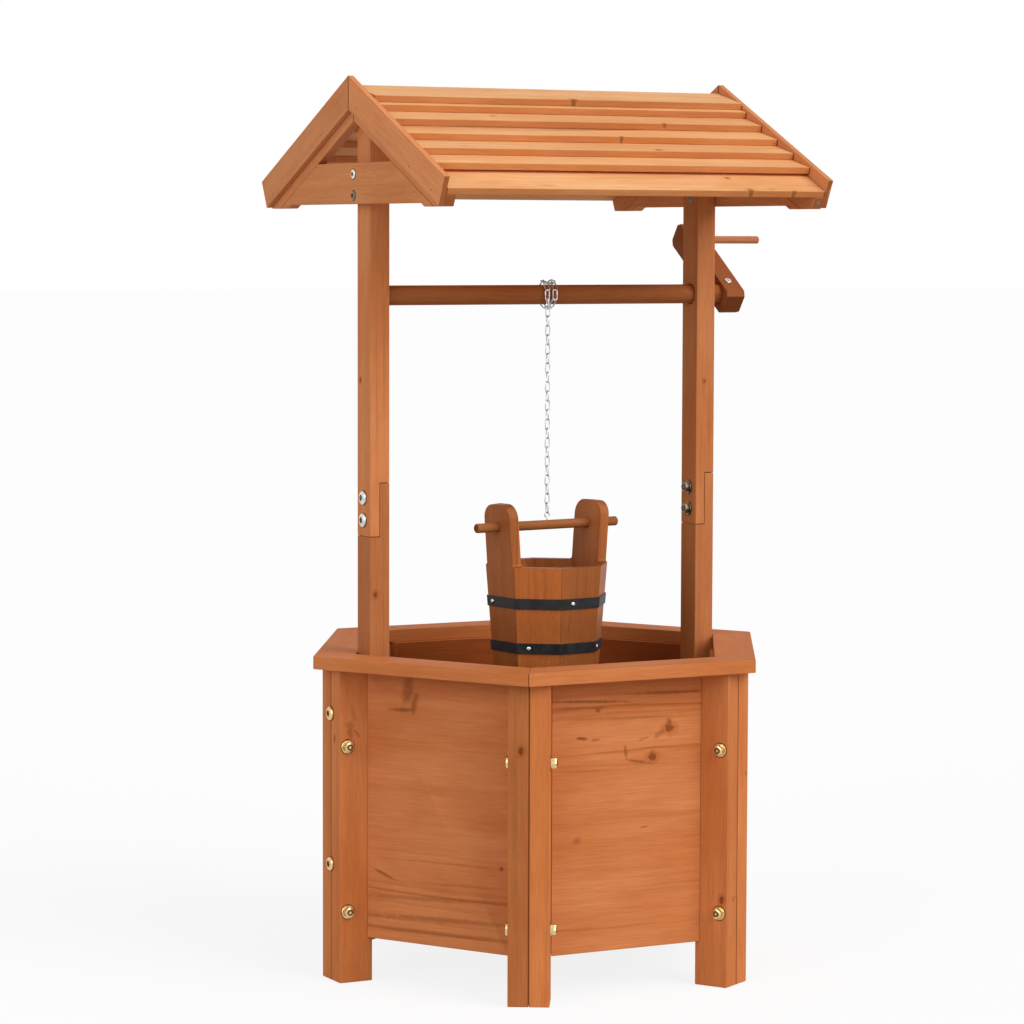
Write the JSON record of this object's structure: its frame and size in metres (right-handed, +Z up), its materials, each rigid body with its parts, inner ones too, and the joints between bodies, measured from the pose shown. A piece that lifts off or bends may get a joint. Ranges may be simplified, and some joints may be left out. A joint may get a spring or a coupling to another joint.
{
  "type": "wishing well planter",
  "caption": "Hexagonal wooden planter styled as a wishing well: spliced posts carry a clapboard gable roof over a crank windlass that raises a staved bucket on a link chain.",
  "frame": {"origin": "on the ground below the middle of the whole object's box, 24.64 mm towards the crank from the middle of the planting box", "axes": "+Z up; X along the ridge and the windlass rod, with the crank at +X; -Y is the side on which the chain leaves the rod"},
  "size_m": [0.5212, 0.4088, 0.8399],
  "materials": {
    "fir_panel": "orange-brown stain, plain sawn face",
    "fir_frame": "orange-brown stain, planed edges",
    "fir_roof": "paler orange stain",
    "fir_bucket": "orange-brown stain",
    "black_steel": "satin black band",
    "bright_steel": "bright plated wire"
  },
  "bodies": {
    "frame": {"panel_right_rear": "fir_panel", "rim_right_rear": "fir_frame", "leg_strip_right_rear_1": "fir_frame", "leg_strip_right_rear_2": "fir_frame", "panel_rear": "fir_panel", "rim_rear": "fir_frame", "leg_strip_rear_1": "fir_frame", "leg_strip_rear_2": "fir_frame", "panel_left_rear": "fir_panel", "rim_left_rear": "fir_frame", "leg_strip_left_rear_1": "fir_frame", "leg_strip_left_rear_2": "fir_frame", "panel_left_front": "fir_panel", "rim_left_front": "fir_frame", "leg_strip_left_front_1": "fir_frame", "leg_strip_left_front_2": "fir_frame", "panel_front": "fir_panel", "rim_front": "fir_frame", "leg_strip_front_1": "fir_frame", "leg_strip_front_2": "fir_frame", "panel_right_front": "fir_panel", "rim_right_front": "fir_frame", "leg_strip_right_front_1": "fir_frame", "leg_strip_right_front_2": "fir_frame", "box_floor": "fir_panel", "barge_board_right_1": "fir_roof", "barge_board_right_2": "fir_roof", "rafter_pair_right": "fir_roof", "tie_beam_right": "fir_roof", "barge_board_left_1": "fir_roof", "barge_board_left_2": "fir_roof", "rafter_pair_left": "fir_roof", "tie_beam_left": "fir_roof", "roof_slat_rear_1": "fir_roof", "roof_slat_rear_2": "fir_roof", "roof_slat_rear_3": "fir_roof", "roof_slat_rear_4": "fir_roof", "roof_slat_rear_5": "fir_roof", "roof_slat_rear_6": "fir_roof", "roof_slat_rear_7": "fir_roof", "roof_slat_front_1": "fir_roof", "roof_slat_front_2": "fir_roof", "roof_slat_front_3": "fir_roof", "roof_slat_front_4": "fir_roof", "roof_slat_front_5": "fir_roof", "roof_slat_front_6": "fir_roof", "roof_slat_front_7": "fir_roof", "post_lower_left": "fir_frame", "post_upper_left": "fir_frame", "post_lower_right": "fir_frame", "post_upper_right": "fir_frame"},
    "windlass": {"windlass_rod": "fir_frame", "crank_arm": "fir_frame", "crank_peg": "fir_frame", "chain_winding": "bright_steel"},
    "chain": {"hanging_chain": "bright_steel"},
    "bucket": {"bucket_tub": "fir_bucket", "bucket_hoop_lower": "black_steel", "bucket_hoop_upper": "black_steel", "bucket_dowel": "fir_bucket"}
  },
  "joints": [
    {"name": "windlass_turn", "type": "hinge", "parent": "frame", "child": "windlass", "pos_m": [0, 0, 0.638], "axis": [-1, 0, 0], "range_deg": [-600, 780]},
    {"name": "bucket_swing", "type": "hinge", "parent": "frame", "child": "chain", "pos_m": [-0.02314, -0.01309, 0.638], "axis": [1, 0, 0], "range_deg": [-10, 10]},
    {"name": "bucket_lift", "type": "slide", "parent": "chain", "child": "bucket", "axis": [0, 0, 1], "range_m": [-0.135, 0.175], "deforming": ["hanging_chain"]}
  ],
  "couplings": [
    {"joint": "bucket_lift", "follows": "windlass_turn", "m_per_rad": 0.0128}
  ]
}
